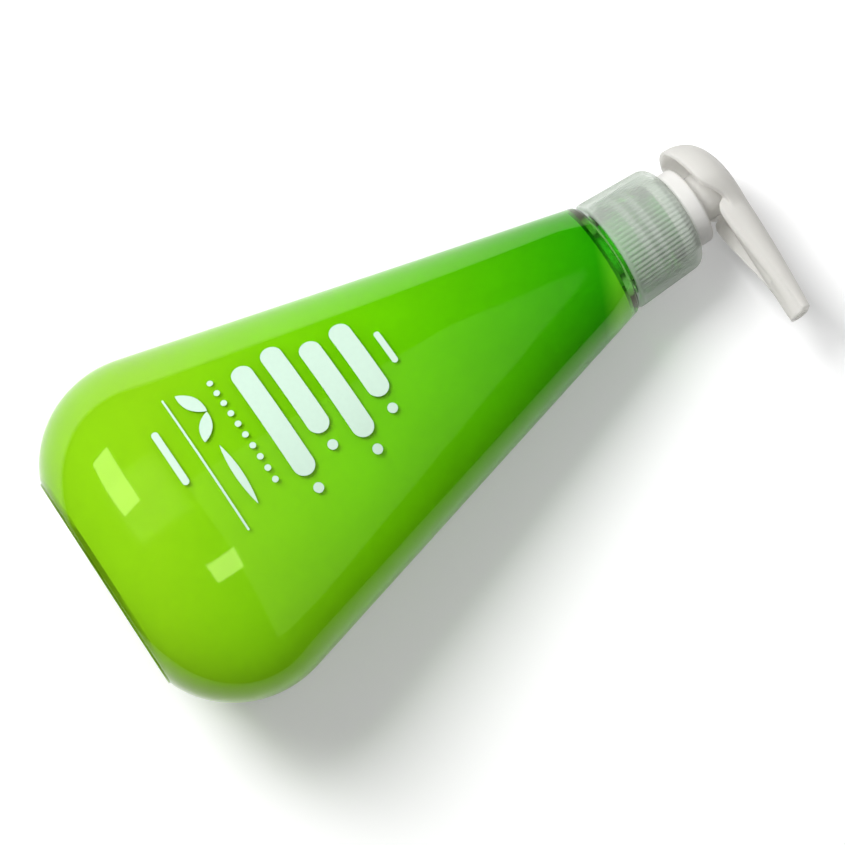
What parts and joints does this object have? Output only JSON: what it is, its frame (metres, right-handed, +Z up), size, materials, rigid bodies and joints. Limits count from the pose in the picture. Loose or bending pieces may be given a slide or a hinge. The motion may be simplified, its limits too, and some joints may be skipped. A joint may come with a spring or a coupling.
{
  "type": "toothpaste pump dispenser",
  "caption": "Clear oval bottle of toothpaste gel with a ribbed screw closure and a lock-down pump; pressing the head draws gel up a dip tube and out of a long spout.",
  "frame": {"origin": "centre of the foot ring on the plane that the bottle stands on", "axes": "+Z up along the bottle and the pump, +X the way the spout points, -Y the printed front"},
  "size_m": [0.088, 0.05, 0.1748],
  "materials": {
    "clear_green_pet": "clear green blow-moulded bottle plastic, polished",
    "green_gel": "smooth cloudy green toothpaste gel, wet against the wall",
    "cloudy_polypropylene": "cloudy natural plastic with fine upright ribs",
    "foam_liner": "white foam liner",
    "natural_polypropylene": "natural cloudy plastic",
    "stainless_steel": "bright drawn wire and ground balls",
    "white_polypropylene": "white moulded plastic, satin gloss"
  },
  "bodies": {
    "bottle": {"bottle": "clear_green_pet", "toothpaste_gel": "green_gel"},
    "pump_body": {"pump_housing": "natural_polypropylene", "dip_tube": "natural_polypropylene", "ball_cage": "natural_polypropylene", "neck_gasket": "foam_liner", "lock_ring": "white_polypropylene"},
    "closure": {"closure": "cloudy_polypropylene"},
    "inlet_ball": {"inlet_ball": "stainless_steel"},
    "return_spring": {"return_spring": "stainless_steel"},
    "pump_head": {"pump_head": "white_polypropylene", "upper_stem": "natural_polypropylene", "lower_stem": "natural_polypropylene"},
    "piston_seal": {"piston_seal": "natural_polypropylene"},
    "outlet_ball": {"outlet_ball": "stainless_steel"}
  },
  "joints": [
    {"name": "pump_lift", "type": "slide", "parent": "bottle", "child": "pump_body", "axis": [0, 0, 1], "range_m": [0, 0.00476]},
    {"name": "closure_turn", "type": "hinge", "parent": "pump_body", "child": "closure", "pos_m": [0, 0, 0.15], "axis": [0, 0, 1], "range_deg": [0, 545]},
    {"name": "inlet_ball_lift", "type": "slide", "parent": "pump_body", "child": "inlet_ball", "axis": [0, 0, 1], "range_m": [0, 0.0015]},
    {"name": "head_rise", "type": "slide", "parent": "pump_body", "child": "return_spring", "axis": [0, 0, 1], "range_m": [0, 0.012], "deforming": ["return_spring"]},
    {"name": "head_turn", "type": "hinge", "parent": "return_spring", "child": "pump_head", "pos_m": [0, 0, 0.16], "axis": [0, 0, 1], "continuous": true},
    {"name": "piston_slip", "type": "slide", "parent": "pump_head", "child": "piston_seal", "axis": [0, 0, 1], "range_m": [0, 0.0012]},
    {"name": "outlet_ball_lift", "type": "slide", "parent": "pump_head", "child": "outlet_ball", "axis": [0, 0, 1], "range_m": [0, 0.0015]}
  ],
  "couplings": [
    {"joint": "closure_turn", "follows": "pump_lift", "rad_per_m": 1979}
  ]
}
